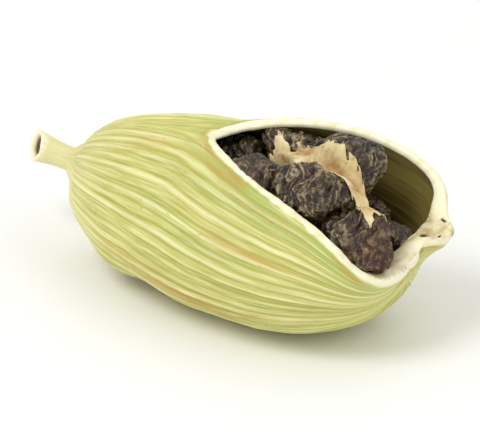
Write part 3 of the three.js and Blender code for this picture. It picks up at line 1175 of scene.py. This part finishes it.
# the largest of the torn pieces
def keepLargest(mesh):
    work = bmesh.new()
    work.from_mesh(mesh)
    bare = [vertex for vertex in work.verts if not vertex.link_faces]
    bmesh.ops.delete(work, geom=bare, context="VERTS")
    left, islands = set(work.verts), []
    while left:
        island, edge = set(), [left.pop()]
        while edge:
            vertex = edge.pop()
            island.add(vertex)
            near = [link.other_vert(vertex) for link in vertex.link_edges]
            edge += [other for other in near if other in left]
            left.difference_update(near)
        islands.append(island)
    largest = max(islands, key=len)
    others = [vertex for vertex in work.verts if vertex not in largest]
    bmesh.ops.delete(work, geom=others, context="VERTS")
    # its stepped edge is eased
    border = [vertex for vertex in work.verts if vertex.is_boundary]
    for _ in range(skinMake["easeRounds"]):
        eased = []
        for vertex in border:
            near = [link.other_vert(vertex).co for link in vertex.link_edges if link.is_boundary]
            eased.append((vertex.co + sum(near, Vector()) / len(near)) / 2)
        for vertex, place in zip(border, eased):
            vertex.co = place
    bmesh.ops.recalc_face_normals(work, faces=work.faces)
    work.to_mesh(mesh)
    work.free()
    return mesh


def skinMaterial():
    tones = skinMake["tones"]
    material, tree, shader = startMaterial("paperySkin")
    place = given(tree, "ShaderNodeTexCoord", "Object")
    cloud = noise(tree, place, 1300.0, 3.0)
    spots = remap(tree, noise(tree, place, 4200.0, 2.0), 0.6, 0.7, 0.0, 0.5)
    film = mix(tree, spots, ramp(tree, cloud, tones["film"]), tones["spot"])
    grain = bump(tree, noise(tree, place, 5000.0, 3.0), 0.3, 0.00004)
    endMaterial(tree, shader, film, remap(tree, cloud, 0.3, 0.7, 0.45, 0.7), grain, 0.5)
    return material


skin = addObject("seedSkinFilm", keepLargest(skinSheet()))
skin.data.materials.append(skinMaterial())
thick = skin.modifiers.new("thickness", "SOLIDIFY")
thick.thickness = skinMake["thickness"] * mm
thick.offset = 0.0
bakeMesh(skin)
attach(skin, "root")
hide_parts("seed_skin")
print("skin faces", len(skin.data.polygons))

# camera, lights and floor; a 480 by 440 picture shows the pod four times as large as the photograph does
stageMake = {
    "azimuth": 39,
    "elevation": 26,
    "lens": 400,
    "sensor": 36,
    "pictureWidth": 19.13,
    "aimRight": 0.64,
    "aimUp": -0.186,
    # azimuth, elevation, distance and size in metres, power in watts and colour
    "lights": {
        "keyLight": (-20, 55, 0.3, 0.14, 0.34, (0.985, 1.0, 0.985)),
        "fillLight": (95, 40, 0.32, 0.2, 0.12, (1.0, 1.0, 1.0)),
        "backLight": (190, 50, 0.32, 0.2, 0.1, (1.0, 1.0, 1.0)),
    },
    "lightAim": 4,
    "floorSize": 3.0,
    "floorTones": [(0.3, "f4f4f2"), (0.7, "f8f8f6")],
    "worldStrength": 0.72,
}


# direction from the pod towards a camera or light
def towards(azimuth, elevation):
    a, e = math.radians(azimuth), math.radians(elevation)
    return Vector((math.sin(a) * math.cos(e), -math.cos(a) * math.cos(e), math.sin(e)))


def putAt(obj, aim, back, distance):
    obj.location = aim + back * distance
    obj.rotation_mode = "QUATERNION"
    obj.rotation_quaternion = (-back).to_track_quat("-Z", "Y")


def addCamera():
    m = stageMake
    a = math.radians(m["azimuth"])
    right = Vector((math.cos(a), math.sin(a), 0))
    back = towards(m["azimuth"], m["elevation"])
    up = back.cross(right)
    data = bpy.data.cameras.new("camera")
    data.lens = m["lens"]
    data.sensor_width = m["sensor"]
    data.clip_start = 0.01
    data.clip_end = 10
    camera = addObject("camera", data)
    aim = Vector(podPlace * mm) + (right * m["aimRight"] + up * m["aimUp"]) * mm
    putAt(camera, aim, back, m["pictureWidth"] * m["lens"] / m["sensor"] * mm)
    bpy.context.scene.camera = camera


def addLights():
    aim = Vector((0, 0, stageMake["lightAim"] * mm))
    for name, (azimuth, elevation, distance, size, power, colour) in stageMake["lights"].items():
        data = bpy.data.lights.new(name, "AREA")
        data.size = size
        data.energy = power
        data.color = colour
        putAt(addObject(name, data), aim, towards(azimuth, elevation), distance)


def addFloor():
    half = stageMake["floorSize"] / 2
    corners = [(-half, -half, 0), (half, -half, 0), (half, half, 0), (-half, half, 0)]
    mesh = bpy.data.meshes.new("floor")
    mesh.from_pydata(corners, [], [(0, 1, 2, 3)])
    floor = addObject("floor", mesh)
    material, tree, shader = startMaterial("paleFloor")
    place = given(tree, "ShaderNodeTexCoord", "Object")
    paper = ramp(tree, noise(tree, place, 40.0, 2.0), stageMake["floorTones"])
    tree.links.new(paper, shader.inputs["Base Color"])
    shader.inputs["Roughness"].default_value = 0.9
    mesh.materials.append(material)


def addWorld():
    world = bpy.data.worlds.new("studio")
    world.use_nodes = True
    background = world.node_tree.nodes["Background"]
    background.inputs["Color"].default_value = (1, 1, 1, 1)
    background.inputs["Strength"].default_value = stageMake["worldStrength"]
    bpy.context.scene.world = world


addCamera()
addLights()
addFloor()
addWorld()
bpy.context.scene.view_settings.view_transform = "Standard"
bpy.context.view_layer.update()

print("stage set")
